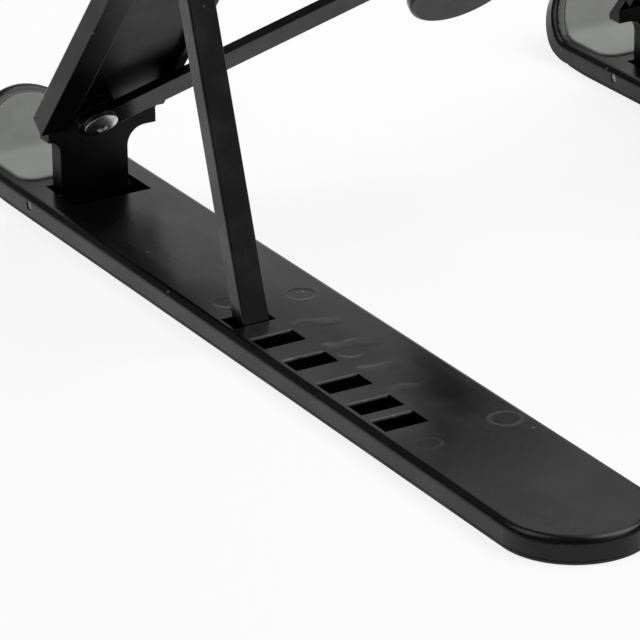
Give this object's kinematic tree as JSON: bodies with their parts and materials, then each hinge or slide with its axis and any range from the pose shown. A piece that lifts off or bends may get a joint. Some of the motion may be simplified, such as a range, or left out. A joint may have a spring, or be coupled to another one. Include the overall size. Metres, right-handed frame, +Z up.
{
  "type": "folding laptop stand",
  "caption": "Folding laptop stand: slotted base rails with hinged channel arms, prop struts and a scissor of cross links that lets the sides close together.",
  "frame": {"origin": "middle of the footprint on the table", "axes": "+Z up, -Y towards the user, +X to the side whose link lies next to the arms"},
  "size_m": [0.1676, 0.2246, 0.168],
  "materials": {
    "black_plastic": "moulded black plastic with a soft gloss",
    "grey_silicone": "smooth matt grey silicone",
    "foot_rubber": "black rubber",
    "slide_plastic": "black low-friction plastic",
    "steel": "bright plated steel"
  },
  "bodies": {
    "right_base": {"right_base_rail": "black_plastic", "right_foot_strip": "foot_rubber", "right_front_pad": "grey_silicone", "right_hinge_pin": "steel"},
    "right_arm_unit": {"right_arm": "black_plastic", "right_arm_pad": "grey_silicone", "right_strut_pin": "steel", "right_link_rivet": "steel"},
    "right_prop": {"right_strut": "black_plastic"},
    "right_slider": {"right_slide_shoe": "slide_plastic", "right_slide_rivet": "steel"},
    "left_base": {"left_base_rail": "black_plastic", "left_foot_strip": "foot_rubber", "left_front_pad": "grey_silicone", "left_hinge_pin": "steel"},
    "left_arm_unit": {"left_arm": "black_plastic", "left_arm_pad": "grey_silicone", "left_strut_pin": "steel", "left_link_rivet": "steel"},
    "left_prop": {"left_strut": "black_plastic"},
    "left_slider": {"left_slide_shoe": "slide_plastic", "left_slide_rivet": "steel"},
    "right_link": {"right_cross_link": "black_plastic", "cross_rivet": "steel"},
    "left_link": {"left_cross_link": "black_plastic"}
  },
  "joints": [
    {"name": "arm_lift", "type": "hinge", "parent": "right_base", "child": "right_arm_unit", "pos_m": [0.0698, -0.07722, 0.0029], "axis": [1, 0, 0], "range_deg": [0, 20]},
    {"name": "sides_close", "type": "hinge", "parent": "right_arm_unit", "child": "right_link", "pos_m": [0.0714, -0.07027, 0.02161], "axis": [0, 0.766, -0.6428], "range_deg": [0, 44]},
    {"name": "links_cross", "type": "hinge", "parent": "right_link", "child": "left_link", "pos_m": [0, -0.04159, 0.05579], "axis": [0, 0.766, -0.6428], "range_deg": [-88, 0]},
    {"name": "left_link_pivot", "type": "hinge", "parent": "left_link", "child": "left_arm_unit", "pos_m": [-0.0714, -0.07027, 0.02161], "axis": [0, 0.766, -0.6428], "range_deg": [0, 44]},
    {"name": "left_arm_lift", "type": "hinge", "parent": "left_arm_unit", "child": "left_base", "pos_m": [-0.0698, -0.07722, 0.0029], "axis": [1, 0, 0], "range_deg": [-20, 0]},
    {"name": "right_slider_turn", "type": "hinge", "parent": "left_link", "child": "right_slider", "pos_m": [0.0714, -0.01291, 0.08996], "axis": [0, 0.766, -0.6428], "range_deg": [0, 44]},
    {"name": "left_slider_turn", "type": "hinge", "parent": "right_link", "child": "left_slider", "pos_m": [-0.0714, -0.01291, 0.08996], "axis": [0, 0.766, -0.6428], "range_deg": [-44, 0]},
    {"name": "right_strut_fold", "type": "hinge", "parent": "right_arm_unit", "child": "right_prop", "pos_m": [0.0698, -0.02256, 0.07831], "axis": [1, 0, 0], "range_deg": [0, 121]},
    {"name": "left_strut_fold", "type": "hinge", "parent": "left_arm_unit", "child": "left_prop", "pos_m": [-0.0698, -0.02256, 0.07831], "axis": [1, 0, 0], "range_deg": [0, 121]}
  ],
  "couplings": [
    {"joint": "links_cross", "follows": "sides_close", "ratio": -2},
    {"joint": "left_link_pivot", "follows": "sides_close", "ratio": 1},
    {"joint": "left_arm_lift", "follows": "arm_lift", "ratio": -1},
    {"joint": "right_slider_turn", "follows": "sides_close", "ratio": 1},
    {"joint": "left_slider_turn", "follows": "sides_close", "ratio": -1}
  ]
}
